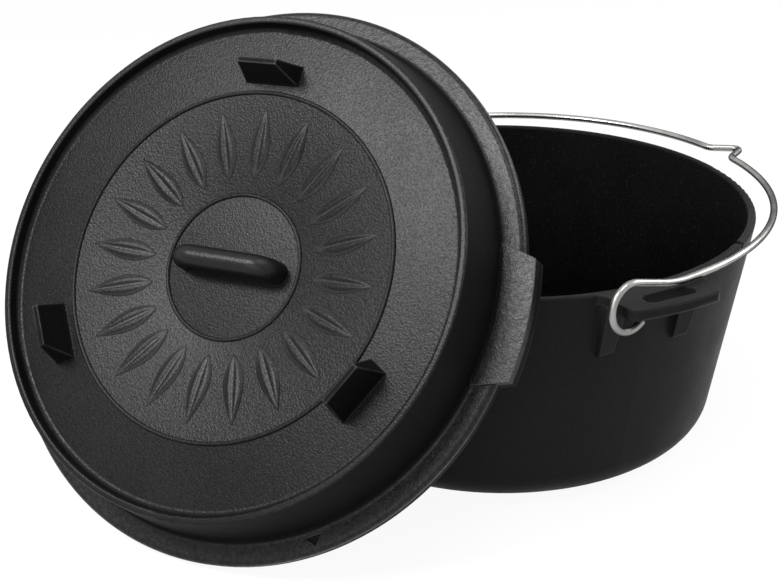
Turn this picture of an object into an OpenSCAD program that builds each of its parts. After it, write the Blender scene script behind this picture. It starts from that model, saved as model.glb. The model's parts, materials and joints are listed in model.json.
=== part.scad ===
// Camp dutch oven: a cast pot with two ears, a cast lid and a wire bail.
// Millimetres, +Z up. The origin is the middle of the pot's underside and
// the ears lie along X. The lid is off: it stands on its flange on the ground
// and leans back on the pot's rim. The bail lies down on the +Y side.

/* [Pot] */
// Outer diameter at the rim
rim_d = 310; // [270:1:350]
// Height from the ground to the rim
pot_h = 136; // [110:1:170]
// Outer diameter that the sloping wall would have at the ground
foot_d = 266; // [230:1:290]
// Thickness of the wall
wall = 5; // [4:0.5:8]
// Thickness of the floor
floor_t = 6; // [4:0.5:10]
// Radius of the outer corner between wall and floor
corner_r = 20; // [12:1:30]
// Rounding of the rim's two edges
rim_round = 1.5; // [0.5:0.1:1.9]
// Width of the groove across the rim
groove_w = 5; // [3:0.5:8]
// Depth of the groove
groove_depth = 3; // [1:0.5:5]
// Turn from the near ear to the groove
groove_turn = 31; // [20:1:80]

/* [Ears] */
// Thickness of an ear
ear_t = 6; // [4:0.5:10]
// Length of an ear along the rim
ear_l = 59; // [50:1:76]
// Reach of an ear beyond the rim
ear_reach = 26; // [23:0.5:34]
// Rounding of an ear's outer corners
ear_corner = 11; // [4:0.5:12]
// Radius of the fillet that blends an ear into the rim
ear_fillet = 9; // [5:0.5:14]
// Length of the slot in an ear
slot_l = 32; // [26:1:40]
// Width of the slot
slot_w = 10.5; // [9:0.5:12]
// Metal between the rim and the slot
slot_inset = 8.5; // [6:0.5:11]
// Distance of each gusset from the middle of its ear
gusset_y = 24.5; // [18:0.5:26]
// Width of a gusset under the ear
gusset_w = 13; // [9:0.5:16]
// Width of a gusset at its foot
gusset_foot_w = 9; // [5:0.5:9]
// Height of a gusset
gusset_h = 32; // [20:1:45]
// Reach of a gusset beyond the rim
gusset_reach = 6; // [3:0.5:8]
// How far each gusset still stands off the wall at its foot
gusset_foot_reach = 3.5; // [1:0.5:5]

/* [Lid] */
// Outer diameter of the flange
lid_d = 312; // [300:1:330]
// Thickness of the flange
flange_t = 10; // [7:0.5:14]
// Diameter of the side wall where it stands on the flange
lid_wall_d = 287; // [278:1:292]
// Outer diameter of the lip round the top
lip_d = 275; // [260:1:280]
// Height of the lid from its seat to the lip
lid_h = 45; // [34:1:60]
// Width of the lip
lip_w = 3.6; // [2.6:0.1:6]
// Depth of the plate below the lip
dish = 7; // [3:0.5:12]
// Thickness of the plate
plate_t = 5.5; // [4:0.5:9]
// How far the middle of the plate is dished below the level of the feet
well_depth = 7; // [1:0.5:9]
// Diameter of the flat middle of the dished plate
well_d = 80; // [80:2:110]
// Diameter at which the plate starts to fall towards its middle
well_top_d = 192; // [150:2:194]
// Thickness of the side wall
lid_wall = 5; // [4:0.5:8]
// Depth of the ring that centres the lid in the pot
ring_depth = 4; // [2:0.5:8]
// Gap between that ring and the inside of the rim
ring_clear = 1.5; // [0.5:0.1:3]

/* [Lid tabs, feet and loop] */
// Width of a grip tab at the side wall
tab_w = 75; // [50:1:90]
// Width of a grip tab at its outer edge
tab_end_w = 62; // [40:1:75]
// Reach of a grip tab beyond the flange
tab_reach = 6.5; // [3:0.5:12]
// Rise of a grip tab above the flange
tab_rise = 2; // [1:0.5:5]
// Rounding of a grip tab's outer corners
tab_corner = 7; // [2:0.5:10]
// Distance of the feet from the lid's middle
feet_r = 106.5; // [103:0.5:115]
// Height of a foot above the plate
foot_h = 21; // [12:1:35]
// Length of a foot where it stands on the plate
foot_l = 33; // [20:1:45]
// Length of a foot at its tip
foot_tip_l = 23.5; // [12:0.5:32]
// Width of a foot where it stands on the plate
foot_w = 11.5; // [7:0.5:16]
// Width of a foot at its tip
foot_tip_w = 3; // [2:0.5:6]
// Distance between the legs of the loop
loop_l = 55; // [46:0.5:64]
// Height of the loop's bar above the middle of the plate
loop_h = 12.5; // [10:0.5:16]
// Bend radius of the loop's shoulders
loop_bend = 9; // [7:0.5:9.5]
// Thickness of the loop
loop_t = 12.5; // [9:0.5:13]
// Width of the position mark on the flange
mark_w = 9.5; // [4:0.5:12]
// Length of the position mark
mark_l = 5; // [3:0.5:7]
// Depth of the position mark
mark_depth = 1.2; // [0.6:0.1:2.5]
// Turn from the near grip tab to the position mark
mark_turn = -60; // [-85:1:-30]

/* [Leaning lid] */
// Lean of the lid's face back from the upright
lid_lean = 35.6; // [28:0.1:45]
// Heading that the lid's top faces
lid_heading = 304.7; // [290:0.1:320]
// Offset of the lid's middle to its right, seen from the pot
lid_aside = -76; // [-100:1:-50]
// Turn of the lid about its own middle
lid_spin = 1.9; // [-20:0.1:20]
// Gap left between the leaning lid and the rim
lean_gap = 0.4; // [0.2:0.1:2]

/* [Bail] */
// Diameter of the wire
wire_d = 4.2; // [3:0.1:5.5]
// Play between a hook and the ear's arm that it goes round
hook_play = 3.8; // [2:0.1:6]
// Turn of a hook from its top round to its tip
hook_wrap = 220; // [190:1:235]
// Slope of the wire where it comes down from a hook
hook_slope = 16; // [12:1:24]
// Radius of the bend that levels the wire out after that slope
ease_r = 30; // [15:1:40]
// Distance of the swing line outside the middle of the ear's arm
hook_aside = 1.5; // [0:0.1:2]
// Height of the swing line above the middle of the ear's arm
hook_lift = 1; // [0:0.1:1.5]
// Distance from the rim out to the middle of the bow's wire
bow_gap = 7.2; // [5:0.1:9]
// Distance of the bow's centre past the middle of the pot
bow_shift = 3; // [0:0.5:10]
// Rise of the bow above level
bow_rise = 0.9; // [0:0.1:2]
// Gap between the wire and the ear that it lies on
rest_gap = 0.3; // [0.2:0.1:1]
// Slope of the two sides of the hanging kink
kink_slope = 56; // [30:1:70]
// Straight length of each side of the kink
kink_side = 11.5; // [4:0.5:16]
// Radius of the bend at the top of the kink
kink_top_r = 4; // [3:0.5:8]
// Radius of the bend at each foot of the kink
kink_foot_r = 7; // [4:0.5:12]
// Turn of the kink from the middle of the bow towards the near ear
kink_aside = 3.8; // [0:0.1:8]

/* [Hidden] */
$fn = 96;

// Roundings of the castings, set by their walls
flange_round = flange_t * 0.3;
lip_round = lip_w * 0.3;
wall_fillet = 3;
ceiling_fillet = 9;
overlap = 1;
hair = 0.5;

// Pot
rim_r = rim_d / 2;
foot_r = foot_d / 2;
function pot_r(z) = foot_r + (rim_r - foot_r) * z / pot_h;

// Ears, with the near one on +X
ear_r = rim_r + ear_reach;
slot_in_r = rim_r + slot_inset;
slot_out_r = slot_in_r + slot_w;
slot_mid_r = (slot_in_r + slot_out_r) / 2;
ear_bottom = pot_h - ear_t;
arm_w = (ear_l - slot_l) / 2;
arm_y = (ear_l + slot_l) / 4;

// Lid, in its own frame: Z = 0 is the seat and X runs through the grip tabs
lid_r = lid_d / 2;
lip_r = lip_d / 2;
lid_wall_r = lid_wall_d / 2;
plate_z = lid_h - dish;
ceiling_z = plate_z - plate_t;
ring_r = rim_r - wall - ring_clear;
lid_slope = (lid_wall_r - lip_r) / (lid_h - flange_t);
function lid_in_r(z) = lid_wall_r - lid_wall - lid_slope * (z - flange_t);
tab_r = lid_r + tab_reach;
tab_in_x = lid_in_r(flange_t) + overlap;

// The leaning lid: its middle is found by sliding it in until it meets the rim
lean_out = [cos(lid_heading), sin(lid_heading), 0];
lean_side = [-sin(lid_heading), cos(lid_heading), 0];
lid_up = [0, 0, cos(lid_lean)] - lean_out * sin(lid_lean);
lid_normal = [0, 0, sin(lid_lean)] + lean_out * cos(lid_lean);
lid_low = (lid_r - flange_round) * cos(lid_lean) - flange_round * sin(lid_lean) + flange_round;
function lid_mid(out) = lean_side * lid_aside + lean_out * out + [0, 0, lid_low];
function lid_under(r) =
    r < lid_in_r(-ring_depth) - lean_gap ? ceiling_z - ceiling_fillet
    : r < ring_r + lean_gap ? -ring_depth
    : r < tab_r + lean_gap ? 0 : lid_h;
function rim_point(a, t) =
    let (r = rim_r - rim_round + rim_round * cos(t))
    [r * cos(a), r * sin(a), pot_h - rim_round + rim_round * sin(t)];
function rim_room(p) = lid_under(norm(p - (p * lid_normal) * lid_normal)) - p * lid_normal;
function lean_room(out) =
    min([for (a = [180:0.5:360], t = [0:30:90]) rim_room(rim_point(a, t) - lid_mid(out))]);
function lean_reach(near, far, tries) =
    let (half = (near + far) / 2)
    tries == 0 ? far
    : lean_room(half) > lean_gap ? lean_reach(near, half, tries - 1)
    : lean_reach(half, far, tries - 1);
lid_place = lid_mid(lean_reach(0, rim_r + lid_r, 18));

// Bail, in its own frame: X is the line that it swings on and the bow lies towards +Y
wire_r = wire_d / 2;
// Straight lengths are a hair thinner than the bends and end just inside them
slack = 0.06;
straight_d = wire_d - slack;
lap = 0.3;
link = 0.5;
hook_y = arm_y + hook_aside;
hook_z = pot_h - ear_t / 2 + hook_lift;
hook_r = norm([arm_w, ear_t]) / 2 + wire_r + hook_play;
leg_rise = ear_t / 2 - hook_lift + wire_r + rest_gap;
bow_r = rim_r + bow_gap;
bow_y = hook_y + bow_shift;
hook_to_bow = norm([slot_mid_r, bow_y]);
splay = acos(bow_r / hook_to_bow) - atan2(bow_y, slot_mid_r);
ramp_l = (hook_r * cos(hook_slope) - ease_r * (1 - cos(hook_slope)) - leg_rise) / sin(hook_slope);
hook_run = (ease_r + hook_r) * sin(hook_slope) + ramp_l * cos(hook_slope);
leg_l = sqrt(pow(hook_to_bow, 2) - pow(bow_r, 2)) - hook_run;
kink_run = (kink_top_r + kink_foot_r) * sin(kink_slope) + kink_side * cos(kink_slope);
kink_reach = norm([bow_r + kink_foot_r, link]);
kink_turn = asin(kink_run / kink_reach) + atan2(link, bow_r + kink_foot_r);
kink_drop = kink_top_r * (1 - cos(kink_slope)) + kink_side * sin(kink_slope)
    + kink_foot_r * (cos(kink_turn) - cos(kink_slope)) + link * sin(kink_turn);
kink_r = bow_r * cos(kink_turn) + kink_drop;

// Outlines with true arcs at their corners: each point is [x, y, radius], counterclockwise
function unit(v) = v / norm(v);
function at(pts, i) = [pts[(i + len(pts)) % len(pts)].x, pts[(i + len(pts)) % len(pts)].y];
function corner(pts, i) =
    let (c = at(pts, i), a = unit(at(pts, i - 1) - c), b = unit(at(pts, i + 1) - c))
    let (half = acos(a * b) / 2, r = pts[i].z, run = r / tan(half))
    [c + a * run, c + b * run, c + unit(a + b) * r / sin(half), c, r];
function bulges(pts, i) = cross(at(pts, i) - at(pts, i - 1), at(pts, i + 1) - at(pts, i)) > 0;

// The round of one corner; it laps a little over the straight-cut corner that it is added to
module corner_cap(k) {
    out = unit(k[3] - k[2]) * 2 * k[4];
    back = 0.45 * (k[0] + k[1]) + 0.1 * k[2];
    intersection() {
        translate(k[2]) circle(r = k[4]);
        polygon([k[0], k[0] + out, k[1] + out, k[1], back]);
    }
}

module rounded_outline(pts) {
    corners = [for (i = [0 : len(pts) - 1]) corner(pts, i)];
    rounded = [for (i = [0 : len(pts) - 1]) if (pts[i].z > 0) i];
    difference() {
        union() {
            polygon([for (k = corners) each (k[4] > 0 ? [k[0], k[1]] : [k[3]])]);
            for (i = rounded) if (bulges(pts, i)) corner_cap(corners[i]);
        }
        for (i = rounded) if (!bulges(pts, i)) corner_cap(corners[i]);
    }
}

// Pot

module pot_bowl() {
    rotate_extrude() rounded_outline([
        [0, 0, 0],
        [foot_r, 0, corner_r],
        [rim_r, pot_h, rim_round],
        [rim_r - wall, pot_h, rim_round],
        [pot_r(floor_t) - wall, floor_t, corner_r - wall],
        [0, floor_t, 0]
    ]);
}

// One ear seen from above: rounded outer corners and a concave fillet into the wall
module ear_outline() {
    blend_r = pot_r(ear_bottom) - hair;
    edge_x = sqrt(pow(ear_r, 2) - pow(ear_l / 2 - ear_corner, 2)) + hair;
    fillet_y = ear_l / 2 + ear_fillet;
    fillet_x = sqrt(pow(blend_r + ear_fillet, 2) - pow(fillet_y, 2));
    fillet_foot = [fillet_x, fillet_y] * blend_r / (blend_r + ear_fillet);
    inner_x = sqrt(pow(rim_r - wall / 2, 2) - pow(fillet_foot.y, 2)) - hair;
    intersection() {
        circle(r = ear_r + hair);
        rounded_outline([
            [inner_x, -ear_l / 2, 0],
            [edge_x, -ear_l / 2, ear_corner],
            [edge_x, ear_l / 2, ear_corner],
            [inner_x, ear_l / 2, 0]
        ]);
    }
    for (side = [0, 1]) mirror([0, side]) difference() {
        polygon([[inner_x, 0], [fillet_x, 0], [fillet_x, fillet_y], fillet_foot, [inner_x, fillet_foot.y]]);
        translate([fillet_x, fillet_y]) circle(r = ear_fillet);
    }
}

// The slot, with round ends
module slot_outline() {
    end_r = slot_w / 2 - hair / 10;
    rounded_outline([
        [slot_in_r, -slot_l / 2, end_r],
        [slot_out_r, -slot_l / 2, end_r],
        [slot_out_r, slot_l / 2, end_r],
        [slot_in_r, slot_l / 2, end_r]
    ]);
}

// One gusset: a rib that narrows to a blunt, rounded foot on the wall
module gusset() {
    foot_z = ear_bottom - gusset_h;
    half = gusset_w / 2;
    function root_x(z) = sqrt(pow(pot_r(z) - wall / 2, 2) - pow(gusset_y + half, 2));
    function wall_x(z) = sqrt(pow(pot_r(z), 2) - pow(gusset_y, 2));
    top_z = ear_bottom + overlap;
    intersection() {
        translate([0, gusset_y + half, 0]) rotate([90, 0, 0]) linear_extrude(gusset_w)
            rounded_outline([
                [root_x(foot_z), foot_z, 0],
                [wall_x(foot_z) + gusset_foot_reach, foot_z, gusset_foot_reach],
                [wall_x(pot_h) + gusset_reach, ear_bottom, 0],
                [wall_x(pot_h) + gusset_reach, top_z, 0],
                [root_x(top_z), top_z, 0]
            ]);
        translate([0, gusset_y, 0]) rotate([90, 0, 90]) linear_extrude(ear_r)
            polygon([
                [-gusset_foot_w / 2, foot_z - overlap],
                [gusset_foot_w / 2, foot_z - overlap],
                [half, top_z],
                [-half, top_z]
            ]);
    }
}

// A ring that gives the outer edge of the ears its bulge
module ear_edge() rotate_extrude() {
    bulge_r = 2 / 3 * ear_t;
    translate([0, ear_bottom - hair]) square([ear_r - bulge_r, ear_t + 2 * hair]);
    translate([ear_r - bulge_r, ear_bottom + ear_t / 2]) circle(r = bulge_r);
}

module ear() {
    intersection() {
        translate([0, 0, ear_bottom]) linear_extrude(ear_t) difference() {
            ear_outline();
            slot_outline();
        }
        ear_edge();
    }
    for (side = [0, 1]) mirror([0, side, 0]) gusset();
}

// The ears are cast on: they end in the middle of the wall
module ears() difference() {
    for (turn = [0, 180]) rotate(turn) ear();
    cylinder(r1 = pot_r(0) - wall / 2, r2 = pot_r(pot_h + overlap) - wall / 2, h = pot_h + overlap);
}

module pot() color([0.09, 0.09, 0.095]) difference() {
    union() {
        pot_bowl();
        ears();
    }
    rotate(groove_turn) translate([rim_r - 2 * wall, 0, pot_h - groove_depth + groove_w / 2]) {
        rotate([0, 90, 0]) cylinder(d = groove_w, h = 4 * wall);
        translate([0, -groove_w / 2, 0]) cube([4 * wall, groove_w, groove_depth + groove_w]);
    }
}

// Lid

module lid_shell() {
    rotate_extrude() rounded_outline([
        [0, ceiling_z - well_depth, 0],
        [well_d / 2, ceiling_z - well_depth, 0],
        [well_top_d / 2, ceiling_z, 0],
        [lid_in_r(ceiling_z), ceiling_z, ceiling_fillet],
        [lid_in_r(-ring_depth), -ring_depth, lip_round],
        [ring_r, -ring_depth, lip_round],
        [ring_r, 0, 0],
        [lid_r, 0, flange_round],
        [lid_r, flange_t, flange_round],
        [lid_wall_r, flange_t, wall_fillet],
        [lip_r, lid_h, lip_round],
        [lip_r - lip_w, lid_h, lip_round],
        [lip_r - lip_w - lid_slope * dish, plate_z, wall_fillet],
        [well_top_d / 2, plate_z, 0],
        [well_d / 2, plate_z - well_depth, 0],
        [0, plate_z - well_depth, 0]
    ]);
}

// One grip tab: a thicker pad on the flange, cut round at its edge
module tab() {
    half = tab_w / 2;
    end_half = tab_end_w / 2;
    linear_extrude(flange_t + tab_rise) intersection() {
        circle(r = tab_r);
        rounded_outline([
            [tab_in_x, -half, 0],
            [tab_r, -end_half, tab_corner],
            [tab_r, end_half, tab_corner],
            [tab_in_x, half, 0]
        ]);
    }
}

// One foot: a blade that narrows both ways to its tip
module foot() {
    root = -overlap;
    intersection() {
        translate([foot_w / 2, 0, 0]) rotate([90, 0, -90]) linear_extrude(foot_w) polygon([
            [-foot_l / 2, root], [foot_l / 2, root], [foot_l / 2, 0],
            [foot_tip_l / 2, foot_h], [-foot_tip_l / 2, foot_h], [-foot_l / 2, 0]
        ]);
        translate([0, foot_l / 2, 0]) rotate([90, 0, 0]) linear_extrude(foot_l) polygon([
            [-foot_w / 2, root], [foot_w / 2, root], [foot_w / 2, 0],
            [foot_tip_w / 2, foot_h], [-foot_tip_w / 2, foot_h], [-foot_w / 2, 0]
        ]);
    }
}

// The loop: two short legs, two bent shoulders and a bar that fingers or a hook go under
module loop() {
    leg = loop_h - loop_bend;
    bar = loop_l / 2 - loop_bend;
    sink = plate_t / 2;
    translate([-bar - lap, 0, loop_h]) rotate([0, 90, 0]) cylinder(d = loop_t - slack, h = 2 * (bar + lap));
    for (side = [0, 1]) mirror([side, 0, 0]) {
        translate([bar, 0, leg]) rotate([90, 0, 0]) rotate_extrude(angle = 90)
            translate([loop_bend, 0]) circle(d = loop_t);
        translate([loop_l / 2, 0, -sink]) cylinder(d = loop_t - slack, h = sink + leg + lap);
    }
}

module mark() {
    mark_mid = (lid_wall_r + lid_r) / 2;
    rotate(mark_turn) translate([mark_mid, 0, flange_t - mark_depth]) linear_extrude(2 * mark_depth)
        polygon([[-mark_l / 2, -mark_w / 2], [mark_l / 2, 0], [-mark_l / 2, mark_w / 2]]);
}

module lid() color([0.13, 0.13, 0.135]) translate(lid_place)
    rotate([0, 90 - lid_lean, lid_heading]) rotate(90 + lid_spin) difference() {
        union() {
            lid_shell();
            for (turn = [0, 180]) rotate(turn) tab();
            for (turn = [90, 210, 330]) rotate(turn) translate([feet_r, 0, plate_z]) foot();
            translate([0, 0, plate_z - well_depth]) loop();
        }
        mark();
    }

// Bail: the wire runs along X, turns left for a positive bend, and carries on at the end of each piece

module feed(length) {
    translate([-lap, 0, 0]) rotate([0, 90, 0]) cylinder(d = straight_d, h = length + 2 * lap);
    translate([length, 0, 0]) children();
}

module bend(r, turn) {
    side = sign(turn);
    translate([0, side * r, 0]) {
        rotate(turn > 0 ? -90 : 90 + turn) rotate_extrude(angle = abs(turn))
            translate([r, 0]) circle(d = wire_d);
        rotate(turn) translate([0, -side * r, 0]) children();
    }
}

// One half, from the end of the kink's top bend to a hook's rounded tip
module half_bail(bow_turn) {
    feed(kink_side) bend(kink_foot_r, kink_slope - kink_turn) feed(link)
        bend(bow_r, -bow_turn) feed(leg_l)
        rotate([90, 0, 0]) bend(ease_r, hook_slope) feed(ramp_l)
        bend(hook_r, -(hook_slope + hook_wrap)) sphere(d = straight_d);
}

module bail() color([0.78, 0.79, 0.8]) translate([0, -hook_y, hook_z]) rotate([bow_rise, 0, 0])
    translate([0, bow_y, leg_rise]) rotate(-kink_aside) translate([0, kink_r - kink_top_r, 0]) {
        rotate(90 - kink_slope) rotate_extrude(angle = 2 * kink_slope)
            translate([kink_top_r, 0]) circle(d = wire_d);
        for (side = [0, 1]) mirror([side, 0, 0]) rotate(-kink_slope) translate([0, kink_top_r, 0])
            half_bail(90 - kink_turn - splay + (side == 0 ? -kink_aside : kink_aside));
    }

pot();
lid();
bail();
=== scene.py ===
# %% [markdown]
# A camp dutch oven: two iron castings, a pot and its lid, and a bail bent from one length of steel wire.
# The castings stay as the CAD model has them and get their surface here, because their shape is right and
# what is missing is the skin that a sand mould and a coat of baked oil leave. The wire and the raised
# ornament on the lid follow simple rules, so they are grown from those rules with Geometry Nodes.

# %% The frame
import json
import math
from types import SimpleNamespace

import bpy
from mathutils import Matrix, Vector


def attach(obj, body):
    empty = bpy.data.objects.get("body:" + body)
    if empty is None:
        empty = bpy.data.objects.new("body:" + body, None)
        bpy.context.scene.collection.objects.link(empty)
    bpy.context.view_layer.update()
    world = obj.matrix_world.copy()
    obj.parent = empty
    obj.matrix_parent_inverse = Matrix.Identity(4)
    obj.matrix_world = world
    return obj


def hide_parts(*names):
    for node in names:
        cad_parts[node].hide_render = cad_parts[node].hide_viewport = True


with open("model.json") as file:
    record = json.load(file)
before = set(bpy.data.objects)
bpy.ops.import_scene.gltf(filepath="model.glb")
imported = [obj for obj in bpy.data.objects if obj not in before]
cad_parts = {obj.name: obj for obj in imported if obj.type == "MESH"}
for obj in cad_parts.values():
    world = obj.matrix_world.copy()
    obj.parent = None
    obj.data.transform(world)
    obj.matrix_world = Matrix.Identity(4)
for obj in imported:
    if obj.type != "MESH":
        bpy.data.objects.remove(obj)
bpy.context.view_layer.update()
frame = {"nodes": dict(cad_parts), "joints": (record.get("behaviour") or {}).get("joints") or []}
mm = 0.001
joints = {j["name"]: j for j in frame["joints"]}


# %% [markdown]
# Everything is placed by moves and turns, and a maker thinks of turns in degrees. Four short helpers let the
# rest of the file say them that way.

# %% Moves and turns in degrees
def move(x, y, z):
    return Matrix.Translation((x, y, z))


def turn(angle, axis):
    return Matrix.Rotation(math.radians(angle), 4, axis)


def sine(angle):
    return math.sin(math.radians(angle))


def cosine(angle):
    return math.cos(math.radians(angle))


# %% [markdown]
# Shader maths reads badly as a list of nodes and links, so one small class stands for a socket. Plus, minus
# and times make Math nodes, and one method makes any other node from its kind, its settings and its sockets.

# %% Sockets that can be added and multiplied
class Shade:
    def __init__(self, tree, socket=None):
        self.tree, self.socket = tree, socket

    def node(self, kind, settings=None, sockets=None, out=0):
        made = self.tree.nodes.new("ShaderNode" + kind)
        for name, value in (settings or {}).items():
            setattr(made, name, value)
        plug(made, sockets or {})
        return Shade(self.tree, made.outputs[out])

    def maths(self, operation, a, b):
        return self.node("Math", {"operation": operation}, {0: a, 1: b})

    def __add__(self, other):
        return self.maths("ADD", self, other)

    def __radd__(self, other):
        return self.maths("ADD", other, self)

    def __sub__(self, other):
        return self.maths("SUBTRACT", self, other)

    def __rsub__(self, other):
        return self.maths("SUBTRACT", other, self)

    def __mul__(self, other):
        return self.maths("MULTIPLY", self, other)

    def __rmul__(self, other):
        return self.maths("MULTIPLY", other, self)

    def most(self, other):
        return self.maths("MAXIMUM", self, other)

    def least(self, other):
        return self.maths("MINIMUM", self, other)

    def ramp(self, low, high):
        return self.node("MapRange", {"interpolation_type": "SMOOTHSTEP"}, {0: self, 1: low, 2: high})

    def blend(self, a, b):
        return self.node("Mix", {"data_type": "RGBA"}, {0: self, 6: a, 7: b}, out=2)

    def vector(self, operation, other, out=0):
        return self.node("VectorMath", {"operation": operation}, {0: self, 1: other}, out)

    def dot(self, other):
        return self.vector("DOT_PRODUCT", other, "Value")

    def length(self):
        return self.node("VectorMath", {"operation": "LENGTH"}, {0: self}, "Value")

    def noise(self, scale, detail, roughness):
        return self.node("TexNoise", None, {
            "Vector": self, "Scale": scale, "Detail": detail, "Roughness": roughness})

    def bump(self, normal, depth):
        return self.node("Bump", None, {"Height": self, "Normal": normal, "Strength": 1.0, "Distance": depth})


def plug(shader, sockets):
    for name, value in sockets.items():
        if isinstance(value, Shade):
            value.tree.links.new(value.socket, shader.inputs[name])
        else:
            shader.inputs[name].default_value = value


def new_material(name):
    material = bpy.data.materials.new(name)
    material.use_nodes = True
    return material, Shade(material.node_tree), material.node_tree.nodes["Principled BSDF"]


def mix_surface(factor, shader, other):
    tree = factor.tree
    mixed = factor.node("MixShader", None, {0: factor, 1: Shade(tree, shader.outputs[0]), 2: other})
    tree.links.new(mixed.socket, tree.nodes["Material Output"].inputs["Surface"])


def wear(node, material):
    frame["nodes"][node].data.materials.clear()
    frame["nodes"][node].data.materials.append(material)
    print(node, "is finished in", material.name, "with", len(material.node_tree.nodes), "shader nodes")


# %% [markdown]
# Seasoned iron is black oxide under baked oil. The mould's sand prints a grain of about a millimetre into it,
# the oil fills part of that grain, and handling leaves it glossier in some places than in others. A picture
# of iron would stretch on the leaning walls, so noises in the object's own space stand for it: two make the
# grain and a slow one makes the cloudy sheen. A bevelled normal takes the knife edge off every corner,
# because no casting has one. Ambient occlusion traced inwards finds where the iron is thin, which is at its
# outer corners, and there the colour is painted a little brighter, partly as wear and partly as a painted
# highlight along the edges.

# %% The skin that both castings share
fine_scale, cloud_scale = 1600.0, 14.0


def iron_skin(name, sand_size, edge):
    material, start, shader = new_material(name)
    place = start.node("TexCoord", out="Object")
    cloud = place.noise(cloud_scale, 4.0, 0.6)
    within = start.node("AmbientOcclusion", {"inside": True, "only_local": True, "samples": 8},
                        {"Distance": 1.5 * edge}, out="AO")
    return SimpleNamespace(
        material=material, shader=shader, place=place, cloud=cloud,
        fine=place.noise(fine_scale, 3.0, 0.6),
        sand=place.noise(1 / sand_size, 2.0, 0.5),
        soft=start.node("Bevel", {"samples": 4}, {"Radius": edge}),
        # brighter outer corners: partly wear, partly a painted highlight along the edges
        worn_highlit_edges=(1 - within).ramp(0.12, 0.5) * cloud.ramp(0.3, 0.55))


def iron_tone(level):
    return (level, 0.985 * level, 0.97 * level, 1.0)


# %% [markdown]
# The pot's inside is painted blacker than its outside, as painted shade in the hollow, and carries faint
# specks where the sand grains stood. Its faces could be sorted into two materials, but one mask does it
# without
# picking faces: the two sides of the wall differ in their distance from the pot's axis, once the lean of the
# wall is taken off.

# %% The pot's iron
wall_lean = 0.162
wall_middle = (131.0 * mm, 129.5 * mm)
floor_top = (5.0 * mm, 5.8 * mm)
speck_scale = 560.0
iron = iron_skin("pot_iron", sand_size=1.3 * mm, edge=1.4 * mm)
out = iron.place.vector("MULTIPLY", (1, 1, 0)).length()
height = iron.place.dot((0, 0, 1))
inside = (out - wall_lean * height).ramp(*wall_middle) * height.ramp(*floor_top)
specks = iron.place.noise(speck_scale, 2.0, 0.7).ramp(0.56, 0.74)
tone = (0.5 * iron.sand + 0.5 * iron.cloud).ramp(0.36, 0.66)
# the rubbed corners are painted lighter, partly as wear and partly as a painted highlight
skin = iron.worn_highlit_edges.blend(tone.blend(iron_tone(0.007), iron_tone(0.012)), iron_tone(0.02))
# the lining's dark base is painted shade inside the pot; its specks are grain
speckled_shaded_lining = specks.blend(iron_tone(0.002), iron_tone(0.01))
plug(iron.shader, {
    "Base Color": inside.blend(skin, speckled_shaded_lining),
    "Roughness": 0.4 + 0.16 * iron.cloud.ramp(0.3, 0.7) + 0.08 * iron.fine - 0.1 * iron.worn_highlit_edges,
    "Normal": (0.65 * iron.sand + 0.35 * iron.fine).bump(iron.soft, 0.18 * mm),
    "Specular IOR Level": 0.07})
wear("pot", iron.material)

# %% [markdown]
# The lid leans on the pot, so its own directions are turned against the frame. The lean, heading and spin of
# the CAD model give them back, and with them a height above the seat and a distance from the lid's middle.

# %% Where the lid is and which way it faces
lid_lean, lid_heading, lid_spin = 35.6, 304.7, 1.9
lid_place = Vector(joints["lid_lift"]["pos_m"])
lid_turn = turn(lid_heading, "Z") @ turn(90 - lid_lean, "Y") @ turn(90 + lid_spin, "Z")
lid_frame = move(*lid_place) @ lid_turn
lid_x, lid_y, lid_up = (tuple(lid_turn.to_3x3() @ Vector(a)) for a in ((1, 0, 0), (0, 1, 0), (0, 0, 1)))
lip_z, plate_z, flange_z = 45 * mm, 38 * mm, 10 * mm
well_depth, well_r, well_top_r = 7 * mm, 40 * mm, 96 * mm
print("lid faces", [round(c, 3) for c in lid_up])

# %% [markdown]
# Oil and coals treat the lid's faces differently, so each kind of face gets a mask. The plate sinks from its
# outer flat to a lower middle: its height follows a ramp over the distance from the middle, and what lies
# within a millimetre or two of that height is plate. The flange is a band of heights outside the side wall,
# which reaches lower at its rounded edge. The lip and the loop stand above the plate, one outside and one in
# the middle.

# %% Masks for the lid's faces
plate_edge, lip_start, loop_end = (135 * mm, 132.5 * mm), (131 * mm, 133 * mm), (38 * mm, 36 * mm)
flange_start, flange_round = (144.0 * mm, 145.5 * mm), (152.5 * mm, 153.5 * mm)
iron = iron_skin("lid_iron", sand_size=1.15 * mm, edge=1.0 * mm)
local = iron.place.vector("SUBTRACT", tuple(lid_place))
height = local.dot(lid_up)
out = local.node("CombineXYZ", None, {0: local.dot(lid_x), 1: local.dot(lid_y)}).length()
sunk = out.node("MapRange", None, {0: out, 1: well_r, 2: well_top_r, 3: -well_depth, 4: 0.0})
over = height - sunk - plate_z
plate = over.ramp(2.4 * mm, 1.6 * mm) * over.ramp(-1.2 * mm, -0.5 * mm) * out.ramp(*plate_edge)
raised = height + 3.0 * mm * out.ramp(*flange_round)
flange = height.ramp(flange_z + 3.2 * mm, flange_z + 2.4 * mm) * out.ramp(*flange_start)
flange = flange * raised.ramp(flange_z - 1.6 * mm, flange_z - 0.3 * mm)
loop = over.ramp(2.0 * mm, 3.0 * mm) * out.ramp(*loop_end)
lip = height.ramp(lip_z - 1.2 * mm, lip_z - 0.4 * mm) * out.ramp(*lip_start)
# outer corners away from the plate: partly wear, partly a painted highlight
edge_wear_and_highlight = iron.worn_highlit_edges * (1 - 0.65 * plate)
print("the lid's masks take", len(iron.material.node_tree.nodes), "shader nodes")

# %% [markdown]
# The iron itself is nearly the same black all over. What differs is how much oil lies on it, so two finishes
# of one colour are mixed, a bare one and an oiled one with a sharper sheen. Upright faces stay bare, the
# plate holds oil in its pores, the flange has most, with a coarser grain, and the loop, the lip and the
# rubbed corners are polished by use.

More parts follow.
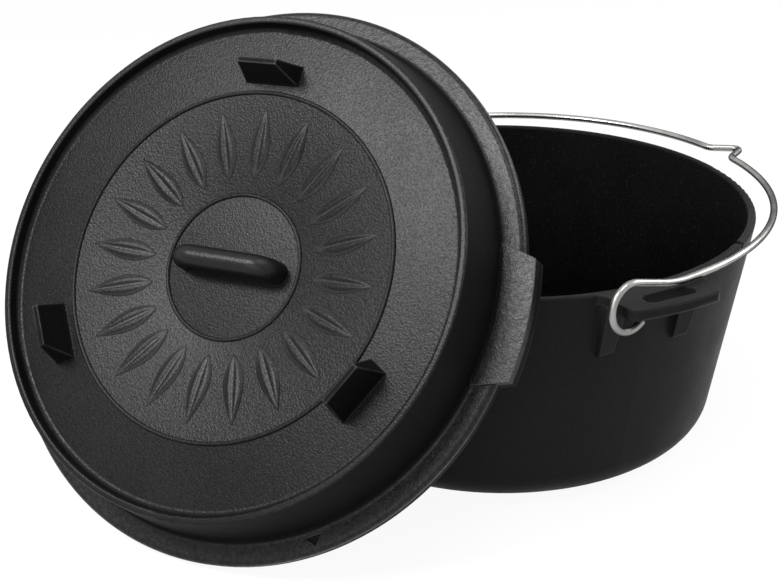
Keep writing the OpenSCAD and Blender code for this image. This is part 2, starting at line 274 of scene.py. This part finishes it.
# %% The lid's iron
coarse_scale = 420.0
coarse = iron.place.noise(coarse_scale, 2.0, 0.6)
tone = (0.45 * iron.sand + 0.25 * iron.fine + 0.3 * iron.cloud).ramp(0.36, 0.64)
skin = tone.blend(iron_tone(0.004), iron_tone(0.008))
top = tone.blend(iron_tone(0.005), iron_tone(0.009))
ash = (0.6 * coarse + 0.4 * iron.fine).ramp(0.36, 0.64).blend(iron_tone(0.005), iron_tone(0.010))
# the rubbed corners are painted brighter, partly as wear and partly as a painted highlight
colour = edge_wear_and_highlight.blend(flange.blend(plate.blend(skin, top), ash), iron_tone(0.05))
grain = (0.65 * iron.sand + 0.2 * iron.fine + 0.8 * flange * coarse).bump(iron.soft, 0.22 * mm)
plug(iron.shader, {
    "Base Color": colour,
    "Roughness": 0.46 + 0.1 * iron.cloud,
    "Normal": grain,
    "Specular IOR Level": 0.03})
sheen = iron.cloud.ramp(0.3, 0.7)
oiled = iron.place.node("BsdfPrincipled", None, {
    "Base Color": colour,
    "Roughness": 0.25 + 0.06 * sheen + 0.04 * iron.fine + 0.04 * flange + 0.03 * loop,
    "Normal": grain,
    "Specular IOR Level": 0.24})
pores = (0.55 * iron.sand + 0.45 * iron.fine).ramp(0.38, 0.62)
crumbs = (0.6 * coarse + 0.4 * iron.fine).ramp(0.38, 0.62)
oil = plate * (0.28 + 0.26 * pores) + flange * (0.66 + 0.34 * crumbs)
mix_surface(oil + 0.85 * loop + 0.5 * edge_wear_and_highlight + 0.5 * lip, iron.shader, oiled)
lid_iron = iron.material
wear("lid", lid_iron)


# %% [markdown]
# A few short helpers serve every piece that is grown: they open a Geometry Nodes tree with named inputs, put
# a node in it, end it, and run it on a source object to keep the plain mesh. Joining bare meshes in a tree
# leaves an empty material slot in front, which is taken out.

# %% Helpers for grown pieces
def new_tree(name, inputs):
    tree = bpy.data.node_groups.new(name, "GeometryNodeTree")
    tree.interface.new_socket("Geometry", in_out="INPUT", socket_type="NodeSocketGeometry")
    for label, kind in inputs.items():
        tree.interface.new_socket(label, in_out="INPUT", socket_type="NodeSocket" + kind)
    tree.interface.new_socket("Geometry", in_out="OUTPUT", socket_type="NodeSocketGeometry")
    return tree, tree.nodes.new("NodeGroupInput").outputs


def put(tree, kind, settings=None, sockets=None, out=0):
    made = tree.nodes.new(kind)
    for name, value in (settings or {}).items():
        setattr(made, name, value)
    for name, value in (sockets or {}).items():
        if isinstance(value, bpy.types.NodeSocket):
            tree.links.new(value, made.inputs[name])
        else:
            made.inputs[name].default_value = value
    return made.outputs[out]


def maths(tree, operation, a, b=0.0):
    return put(tree, "ShaderNodeMath", {"operation": operation}, {0: a, 1: b})


def end_tree(tree, shape, material):
    shape = put(tree, "GeometryNodeRealizeInstances", None, {"Geometry": shape})
    shape = put(tree, "GeometryNodeSetShadeSmooth", None, {"Geometry": shape})
    shape = put(tree, "GeometryNodeSetMaterial", None, {"Geometry": shape, "Material": material})
    tree.links.new(shape, tree.nodes.new("NodeGroupOutput").inputs[0])


def grow(name, tree, data, values):
    source = bpy.data.objects.new(name + "_source", data)
    bpy.context.scene.collection.objects.link(source)
    growth = source.modifiers.new("growth", "NODES")
    growth.node_group = tree
    for item in tree.interface.items_tree:
        if item.in_out == "INPUT" and item.name in values:
            growth[item.identifier] = values[item.name]
    graph = bpy.context.evaluated_depsgraph_get()
    mesh = bpy.data.meshes.new_from_object(source.evaluated_get(graph), depsgraph=graph)
    if mesh.materials[0] is None:
        mesh.materials.pop(index=0)
    bpy.data.objects.remove(source)
    piece = bpy.data.objects.new(name, mesh)
    bpy.context.scene.collection.objects.link(piece)
    print(name, "has", len(mesh.polygons), "faces")
    return piece


# %% [markdown]
# The bail is drawn steel wire, bent cold over a few formers: a small kink at the crown for a hanging hook, a
# wide bow, two straight legs, and at each end a ramp and an open hook that passes through the slot in the
# ear. The sizes below drive it as they do in the CAD model, with a gentler bend into the ramp. The rest is
# worked out from them, because pieces have to meet: a hook goes round the arm of the ear with some play, the
# kink's feet touch the bow, and the legs run off it so that each hook ends up in the middle of its slot.

# %% The sizes of the bail
wire_d = 4.2 * mm
bow_r, bow_shift, bow_rise = 162.2 * mm, 3 * mm, 0.9
arm_w, ear_t, slot_r = 13.5 * mm, 6 * mm, 168.75 * mm
hook_play, hook_slope, hook_wrap = 3.8 * mm, 16, 220
ramp_r, leg_rise = 70 * mm, 4.4 * mm
kink_slope, kink_side, kink_top_r, kink_foot_r = 56, 11.5 * mm, 4 * mm, 7 * mm
kink_aside, kink_link = 3.8, 0.5 * mm

swing = Vector(joints["bail_swing"]["pos_m"])
bow_y = bow_shift - swing.y
hook_r = math.hypot(arm_w, ear_t) / 2 + wire_d / 2 + hook_play
ramp_l = (hook_r * cosine(hook_slope) - ramp_r * (1 - cosine(hook_slope)) - leg_rise) / sine(hook_slope)
hook_run = (ramp_r + hook_r) * sine(hook_slope) + ramp_l * cosine(hook_slope)
hook_to_bow = math.hypot(slot_r, bow_y)
leg_l = math.sqrt(hook_to_bow ** 2 - bow_r ** 2) - hook_run
splay = math.degrees(math.acos(bow_r / hook_to_bow) - math.atan2(bow_y, slot_r))
kink_run = (kink_top_r + kink_foot_r) * sine(kink_slope) + kink_side * cosine(kink_slope)
foot_r = bow_r + kink_foot_r
kink_turn = math.degrees(math.asin(kink_run / math.hypot(foot_r, kink_link)) + math.atan2(kink_link, foot_r))
kink_drop = (kink_top_r * (1 - cosine(kink_slope)) + kink_side * sine(kink_slope)
             + kink_foot_r * (cosine(kink_turn) - cosine(kink_slope)) + kink_link * sine(kink_turn))
kink_r = bow_r * cosine(kink_turn) + kink_drop
print("legs", round(leg_l / mm, 2), "ramps", round(ramp_l / mm, 2), "crown at", round(kink_r / mm, 2), "mm")


# %% [markdown]
# A line of points could be drawn by hand, but a real bender feeds wire, turns it round a former and rolls it,
# so the middle line is walked the same way, half by half from the crown. A wide bend gets a point every two
# degrees and a tight one every five. The kink sits a little aside, so one half of the bow is longer than the
# other.

# %% The middle line of the wire
wide_r, wide_step, tight_step, feed_step, crown_step = 100 * mm, 2, 5, 4 * mm, 7


class Bender:
    def __init__(self, at):
        self.at, self.points = at, [at.translation.copy()]

    def go(self, step, count):
        for _ in range(count):
            self.at = self.at @ step
            self.points.append(self.at.translation.copy())

    def feed(self, length):
        count = max(1, round(length / feed_step))
        self.go(move(length / count, 0, 0), count)

    def bend(self, radius, angle):
        count = math.ceil(abs(angle) / (wide_step if radius > wide_r else tight_step))
        side = math.copysign(radius, angle)
        self.go(move(0, side, 0) @ turn(angle / count, "Z") @ move(0, -side, 0), count)

    def roll(self, angle):
        self.at = self.at @ turn(angle, "X")


def half_of_bail(bow_turn):
    wire = Bender(turn(-kink_slope, "Z") @ move(0, kink_top_r, 0))
    wire.feed(kink_side)
    wire.bend(kink_foot_r, kink_slope - kink_turn)
    wire.feed(kink_link)
    wire.bend(bow_r, -bow_turn)
    wire.feed(leg_l)
    wire.roll(90)
    wire.bend(ramp_r, hook_slope)
    wire.feed(ramp_l)
    wire.bend(hook_r, -(hook_slope + hook_wrap))
    return wire.points


bow_turn = 90 - kink_turn - splay
crown = move(*swing) @ turn(bow_rise, "X") @ move(0, bow_y, leg_rise) @ turn(-kink_aside, "Z")
crown = crown @ move(0, kink_r - kink_top_r, 0)
mirror = Matrix.Scale(-1, 4, (1, 0, 0))
left = [mirror @ p for p in half_of_bail(bow_turn + kink_aside)]
round_top = range(crown_step - kink_slope, kink_slope, crown_step)
top = [kink_top_r * Vector((sine(a), cosine(a), 0)) for a in round_top]
line = [crown @ p for p in left[::-1] + top + half_of_bail(bow_turn - kink_aside)]
path = bpy.data.curves.new("bail_path", "CURVE")
path.dimensions = "3D"
spline = path.splines.new("POLY")
spline.points.add(len(line) - 1)
for point, at in zip(spline.points, line):
    point.co = (*at, 1.0)
wire_l = sum((b - a).length for a, b in zip(line, line[1:]))
print("the wire is", round(wire_l / mm), "mm long")

# %% [markdown]
# Drawing pulls the wire through a die, which leaves hair-fine lines along it. They show as streaks in the
# shine, so the tree keeps the distance along the wire and the place round it for the material to read. Soot
# and rubbing dull the hooks, where iron works on steel.

# %% The wire's steel
lines_round, lines_along = 2600.0, 30.0
soot_scale, pit_scale = 60.0, 900.0
bright, grey, sooty = (0.48, 0.48, 0.47, 1), (0.22, 0.22, 0.215, 1), (0.12, 0.115, 0.11, 1)
bail_wire, start, shader = new_material("bail_wire")
along = start.node("Attribute", {"attribute_name": "along"}, out="Fac")
around = start.node("Attribute", {"attribute_name": "around"}, out="Vector")
place = start.node("TexCoord", out="Object")
drawn = around.vector("MULTIPLY", (lines_round, lines_round, 0))
drawn = drawn.vector("ADD", start.node("CombineXYZ", None, {2: lines_along * along}))
lines = drawn.noise(1.0, 3.0, 0.6)
soot = place.noise(soot_scale, 3.0, 0.6)
pits = place.noise(pit_scale, 2.0, 0.6).ramp(0.6, 0.75)
hooks = along.least(wire_l - along).ramp(75 * mm, 30 * mm)
dull = (0.5 * lines + 0.5 * soot).ramp(0.35, 0.7)
plug(shader, {
    "Metallic": 1.0,
    "Specular Tint": (0.03, 0.03, 0.03, 1),
    "Base Color": (0.3 * hooks + 0.4 * pits).blend(dull.blend(bright, grey), sooty),
    "Roughness": 0.2 + 0.14 * dull + 0.08 * hooks,
    "Normal": lines.node("Bump", None, {"Height": lines, "Strength": 0.12, "Distance": 0.1 * mm})})
print("the wire's steel takes", len(bail_wire.node_tree.nodes), "shader nodes")

# %% [markdown]
# A tube along a line is what Curve to Mesh is for. A bevelled curve would give the same tube, but in a tree
# the line and the circle that is swept along it can also carry the two measures that the steel reads.

# %% The bail, swept along its line
tree, given = new_tree("swept_wire", {"Diameter": "Float", "Sides": "Int", "Finish": "Material"})
far = put(tree, "GeometryNodeSplineParameter", out="Length")
route = put(tree, "GeometryNodeStoreNamedAttribute", {"data_type": "FLOAT"},
            {"Geometry": given["Geometry"], "Name": "along", "Value": far})
radius = maths(tree, "MULTIPLY", given["Diameter"], 0.5)
ring = put(tree, "GeometryNodeCurvePrimitiveCircle", None, {"Resolution": given["Sides"], "Radius": radius})
ring = put(tree, "GeometryNodeStoreNamedAttribute", {"data_type": "FLOAT_VECTOR"},
           {"Geometry": ring, "Name": "around", "Value": put(tree, "GeometryNodeInputPosition")})
swept = put(tree, "GeometryNodeCurveToMesh", None, {"Curve": route, "Profile Curve": ring, "Fill Caps": True})
end_tree(tree, swept, given["Finish"])
bail = grow("bail_wire", tree, path, {"Diameter": wire_d, "Sides": 28, "Finish": bail_wire})
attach(bail, "bail")
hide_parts("bail")

# %% [markdown]
# The lid carries a plain cast design: a wreath of leaves on the slope of the plate, between two thin raised
# rings where that slope begins and ends. In a pattern shop one leaf is carved and repeated round a circle, so
# one leaf is shaped from two grids, its back and its belly, and set on the points of a circle. Across the
# grid a leaf is narrow at both ends, swells in the middle and has a crease along it.

# %% One leaf for the wreath
leaf_taper, crease_low, belly_share = 0.35, 0.55, 0.2
tree, given = new_tree("leaf_wreath", {
    "Leaves": "Int", "Radius": "Float", "Slope": "Float", "Length": "Float", "Width": "Float",
    "Height": "Float", "Sink": "Float", "Finish": "Material"})


def times(*factors):
    product = factors[0]
    for factor in factors[1:]:
        product = maths(tree, "MULTIPLY", product, factor)
    return product


def less(a, b):
    return maths(tree, "SUBTRACT", a, b)


grid = put(tree, "GeometryNodeMeshGrid", None, {
    "Size X": 2.0, "Size Y": 2.0, "Vertices X": 33, "Vertices Y": 13})
spot = put(tree, "GeometryNodeInputPosition")
u, v = (put(tree, "ShaderNodeSeparateXYZ", None, {0: spot}, out=axis) for axis in ("X", "Y"))
narrow, arched = less(1.0, times(u, u)), less(1.0, times(v, v))
half_w = times(given["Width"], 0.5, narrow, less(1.0, times(u, leaf_taper)))
crease = maths(tree, "ADD", crease_low, maths(tree, "POWER", maths(tree, "ABSOLUTE", v), 0.5))
swell = times(arched, maths(tree, "POWER", narrow, 0.5))
sides = []
for lift in (times(swell, crease, given["Height"]), times(swell, -belly_share, given["Height"])):
    shaped = put(tree, "ShaderNodeCombineXYZ", None, {
        0: times(u, given["Length"], 0.5), 1: times(v, half_w), 2: less(lift, given["Sink"])})
    sides.append(put(tree, "GeometryNodeSetPosition", None, {"Geometry": grid, "Position": shaped}))
both = tree.nodes.new("GeometryNodeJoinGeometry")
tree.links.new(sides[0], both.inputs[0])
tree.links.new(put(tree, "GeometryNodeFlipFaces", None, {"Mesh": sides[1]}), both.inputs[0])
leaf = put(tree, "GeometryNodeMergeByDistance", None, {"Geometry": both.outputs[0], "Distance": 0.001 * mm})
print("one leaf takes", len(tree.nodes), "nodes")

# %% [markdown]
# The leaves point at the lid's middle and lie on the slope of the plate. An Array modifier could turn copies
# about the axis, but instances on the points of a circle take their number and their slope from named inputs.

# %% The leaves in a circle
spots = put(tree, "GeometryNodeMeshCircle", None, {"Vertices": given["Leaves"], "Radius": given["Radius"]})
step = maths(tree, "DIVIDE", 2 * math.pi, given["Leaves"])
turned = put(tree, "ShaderNodeCombineXYZ", None, {
    1: times(given["Slope"], -1.0), 2: times(put(tree, "GeometryNodeInputIndex"), step)})
turned = put(tree, "FunctionNodeEulerToRotation", None, {0: turned})
wreath = put(tree, "GeometryNodeInstanceOnPoints", None, {
    "Points": spots, "Instance": leaf, "Rotation": turned})
end_tree(tree, wreath, given["Finish"])
wreath = grow("lid_wreath", tree, bpy.data.meshes.new("empty"), {
    "Leaves": 20, "Radius": (well_r + well_top_r) / 2, "Length": 40 * mm, "Width": 13 * mm,
    "Height": 1.5 * mm, "Sink": 0.3 * mm, "Slope": math.atan2(well_depth, well_top_r - well_r),
    "Finish": lid_iron})

# %% [markdown]
# The rings are beads that a turner leaves standing on the pattern, half sunk in the plate. A torus would do
# for one, but a small circle swept round a large one is a tree whose two sizes both rings can share.

# %% Two raised rings beside the wreath
tree, given = new_tree("raised_ring", {"Radius": "Float", "Bead": "Float", "Finish": "Material"})
hoop = put(tree, "GeometryNodeCurvePrimitiveCircle", None, {"Resolution": 180, "Radius": given["Radius"]})
bead = put(tree, "GeometryNodeCurvePrimitiveCircle", None, {"Resolution": 14, "Radius": given["Bead"]})
hoop = put(tree, "GeometryNodeCurveToMesh", None, {"Curve": hoop, "Profile Curve": bead})
end_tree(tree, hoop, given["Finish"])
ornament = [(wreath, plate_z - well_depth / 2)]
rings = {"lid_inner_ring": (well_r, plate_z - well_depth), "lid_outer_ring": (well_top_r, plate_z)}
for name, (radius, level) in rings.items():
    ring = grow(name, tree, bpy.data.meshes.new("empty"), {
        "Radius": radius, "Bead": 1.2 * mm, "Finish": lid_iron})
    ornament.append((ring, level))
for piece, level in ornament:
    piece.data.transform(lid_frame @ move(0, 0, level))
    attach(piece, "lid")

# %% [markdown]
# The oven stands on a pale floor that runs out of sight. The floor shines white to the camera and to mirrors
# and keeps a soft shadow, and to every other ray it is plain matt paper.

# %% The floor
floor_reach, paper_tone, paper_glow, glow_share = 6, 0.7, 1.08, 0.86


def white_rays(start):
    rays = start.node("LightPath").socket.node.outputs
    camera, glossy, through = (Shade(start.tree, rays[f"Is {kind} Ray"])
                               for kind in ("Camera", "Glossy", "Transmission"))
    return camera.most(glossy.most(through))


corners = [(x * floor_reach, y * floor_reach, 0) for x, y in ((-1, -1), (1, -1), (1, 1), (-1, 1))]
floor_mesh = bpy.data.meshes.new("floor")
floor_mesh.from_pydata(corners, [], [(0, 1, 2, 3)])
floor = bpy.data.objects.new("floor", floor_mesh)
bpy.context.scene.collection.objects.link(floor)
paper, start, shader = new_material("paper")
plug(shader, {"Base Color": (paper_tone,) * 3 + (1,), "Roughness": 1.0, "Specular IOR Level": 0.0})
glow = start.node("Emission", None, {"Color": (1, 1, 1, 1), "Strength": paper_glow})
mix_surface(glow_share * white_rays(start), shader, glow)
floor_mesh.materials.append(paper)
print("the floor is", 2 * floor_reach, "m wide")

# %% [markdown]
# Black iron shows its form only in what it mirrors. The key stands near where the flat of the lid mirrors
# the camera, so the plate takes a long sheen that fades towards the ground. Weaker soft boxes overhead,
# behind and in front open up the other sides. The room is white to the camera and to mirrors, and dim as a
# light.

# %% The light
room_level = 0.3
world = bpy.data.worlds.new("room")
bpy.context.scene.world = world
world.use_nodes = True
room = room_level + (1 - room_level) * white_rays(Shade(world.node_tree))
plug(world.node_tree.nodes["Background"], {"Color": (1, 1, 1, 1), "Strength": room})


def face(at, direction):
    return move(*at) @ Vector(direction).to_track_quat("-Z", "Y").to_matrix().to_4x4()


def soft_box(name, at, towards, size, power):
    lamp = bpy.data.lights.new(name, "AREA")
    lamp.shape = "RECTANGLE"
    lamp.size, lamp.size_y = size
    lamp.energy = power
    box = bpy.data.objects.new(name, lamp)
    box.matrix_world = face(at, Vector(towards) - Vector(at))
    bpy.context.scene.collection.objects.link(box)
    print(name, "box gives", power, "watts")


soft_box("key", at=(0.1, -0.99, 1.07), towards=(0.055, -0.149, 0.196), size=(0.52, 0.36), power=18)
soft_box("top", at=(0.38, -0.05, 1.3), towards=(0, 0.02, 0.12), size=(0.5, 0.5), power=5)
soft_box("back", at=(0.3, 1.3, 0.8), towards=(0, 0, 0.1), size=(1.0, 0.6), power=10)
soft_box("front", at=(0.95, -1.25, 0.55), towards=(0.05, -0.15, 0.15), size=(0.9, 0.6), power=4)

# %% [markdown]
# The camera stands in front of the leaning lid, a little to the side of the near ear, and looks down at it.

# %% The camera
camera_at, camera_look, camera_roll = (0.6905, -0.4315, 0.4304), (-0.8137, 0.4196, -0.4023), -0.95
lens = bpy.data.cameras.new("camera")
lens.sensor_width = 36.0
lens.lens = 64.615
camera = bpy.data.objects.new("camera", lens)
camera.matrix_world = face(camera_at, camera_look) @ turn(camera_roll, "Z")
bpy.context.scene.collection.objects.link(camera)
bpy.context.scene.camera = camera
bpy.context.scene.view_settings.view_transform = "Standard"
print("camera is", round(Vector(camera_at).length, 2), "m from the pot's foot")
